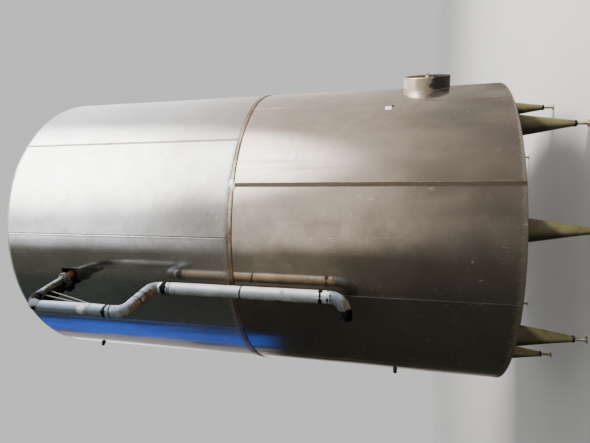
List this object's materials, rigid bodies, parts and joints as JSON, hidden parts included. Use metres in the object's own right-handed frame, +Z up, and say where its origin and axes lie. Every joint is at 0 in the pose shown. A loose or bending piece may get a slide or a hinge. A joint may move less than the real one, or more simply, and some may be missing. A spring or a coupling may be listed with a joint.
{
  "type": "vertical storage tank",
  "caption": "Upright round insulated steel storage tank on tapered screw-foot legs, with a side manway and a clad overflow pipe down its wall.",
  "frame": {"origin": "on the tank's axis at ground level, under its feet", "axes": "+Z up along the tank's axis; the pipe runs down close to the -X -Y diagonal and the manway faces 48 degrees from +X towards -Y"},
  "size_m": [3.2329, 3.1948, 5.9023],
  "materials": {
    "shell_steel": "smooth stainless sheet, dull and scratched, dirty at the foot",
    "band_steel": "brown stained joint band",
    "leg_steel": "dull olive paint, stained",
    "neck_steel": "bright stainless neck, dirty inside",
    "pipe_cladding": "pale weathered metal jacket with algae",
    "rusty_steel": "orange rust",
    "black_fitting": "black, dusty"
  },
  "bodies": {
    "root": {"brace_rod_inner": "pipe_cladding", "brace_rod_outer": "pipe_cladding", "girth_band": "band_steel", "leg_1": "leg_steel", "leg_2": "leg_steel", "leg_3": "leg_steel", "leg_4": "leg_steel", "leg_5": "leg_steel", "leg_6": "leg_steel", "leg_7": "leg_steel", "leg_8": "leg_steel", "lower_gauge_stub": "black_fitting", "lower_sheet_01": "shell_steel", "lower_sheet_02": "shell_steel", "lower_sheet_03": "shell_steel", "lower_sheet_04": "shell_steel", "lower_sheet_05": "shell_steel", "lower_sheet_06": "shell_steel", "lower_sheet_07": "shell_steel", "lower_sheet_08": "shell_steel", "lower_sheet_09": "shell_steel", "lower_sheet_10": "shell_steel", "manway_bar": "leg_steel", "manway_door": "shell_steel", "manway_neck": "neck_steel", "outlet_stub": "rusty_steel", "pipe_arm": "pipe_cladding", "pipe_last_elbow": "pipe_cladding", "pipe_lower_run": "pipe_cladding", "pipe_offset_bend": "pipe_cladding", "pipe_top_elbow": "pipe_cladding", "pipe_upper_run": "pipe_cladding", "roof_cone": "shell_steel", "tank_floor": "shell_steel", "upper_gauge_stub": "black_fitting", "upper_sheet_01": "shell_steel", "upper_sheet_02": "shell_steel", "upper_sheet_03": "shell_steel", "upper_sheet_04": "shell_steel", "upper_sheet_05": "shell_steel", "upper_sheet_06": "shell_steel", "upper_sheet_07": "shell_steel", "upper_sheet_08": "shell_steel", "upper_sheet_09": "shell_steel", "upper_sheet_10": "shell_steel"}
  },
  "joints": []
}
